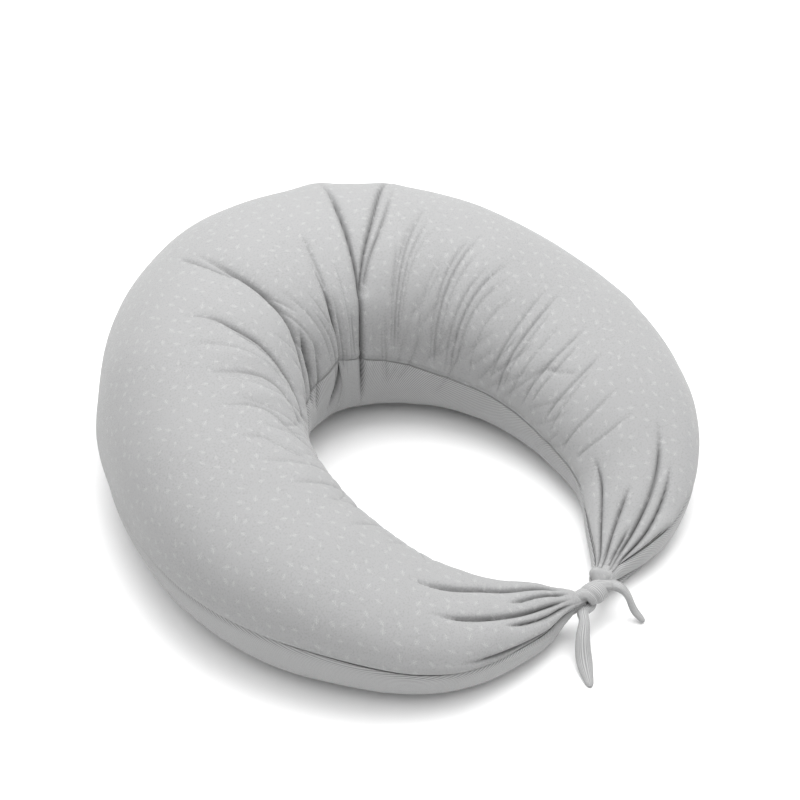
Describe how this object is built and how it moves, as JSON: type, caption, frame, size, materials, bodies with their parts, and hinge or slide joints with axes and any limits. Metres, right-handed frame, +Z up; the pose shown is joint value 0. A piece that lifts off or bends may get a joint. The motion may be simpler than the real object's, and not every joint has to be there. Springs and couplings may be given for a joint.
{
  "type": "nursing pillow",
  "caption": "Crescent cushion with its two tapered ends tied into a ring, a printed upper panel, a striped lower panel and ties, and a zip in the outer seam.",
  "frame": {"origin": "middle of the outline in plan, on the surface that the pillow stands on", "axes": "+Z up, the knot towards -Y, the thick middle of the crescent towards +Y"},
  "size_m": [0.7226, 0.7931, 0.2492],
  "materials": {
    "print_cotton": "matt woven cotton with a small pale sprig print",
    "striped_cotton": "matt woven cotton with fine pale stripes",
    "liner_cotton": "plain undyed cotton",
    "filling": "loose light filling",
    "zip_coil": "nylon coil",
    "zip_tape": "woven polyester tape",
    "zip_metal": "grey lacquered zinc",
    "label": "blank satin ribbon"
  },
  "bodies": {
    "pillow": {"cover_top_panel": "print_cotton", "cover_bottom_panel": "striped_cotton", "liner_top_panel": "liner_cotton", "liner_bottom_panel": "liner_cotton", "filling": "filling", "zip_coil_upper": "zip_coil", "zip_tape_upper": "zip_tape", "zip_coil_lower": "zip_coil", "zip_tape_lower": "zip_tape", "zip_top_stops": "zip_metal", "zip_bottom_stop": "zip_metal", "care_label": "label", "tie_left": "striped_cotton", "tie_right": "striped_cotton"},
    "slider": {"zip_slider": "zip_metal"},
    "puller": {"zip_puller": "zip_metal"},
    "left_tail": {"tie_left_tail": "striped_cotton"},
    "right_tail": {"tie_right_tail": "striped_cotton"}
  },
  "joints": [
    {"name": "zip_slide", "type": "hinge", "parent": "pillow", "child": "slider", "pos_m": [-0.08299, -0.02747, 0.086], "axis": [0, 0, 1], "range_deg": [0, 50.8]},
    {"name": "zip_pull_swing", "type": "hinge", "parent": "slider", "child": "puller", "pos_m": [0.3596, -0.04873, 0.086], "axis": [0, 0, -1], "range_deg": [0, 170]},
    {"name": "left_tail_swing", "type": "hinge", "parent": "pillow", "child": "left_tail", "pos_m": [0.02601, -0.33947, 0.045], "axis": [-0.8191, -0.5736, 0], "range_deg": [0, 90]},
    {"name": "right_tail_swing", "type": "hinge", "parent": "pillow", "child": "right_tail", "pos_m": [-0.03199, -0.33847, 0.036], "axis": [-0.766, 0.6428, 0], "range_deg": [0, 90]}
  ]
}
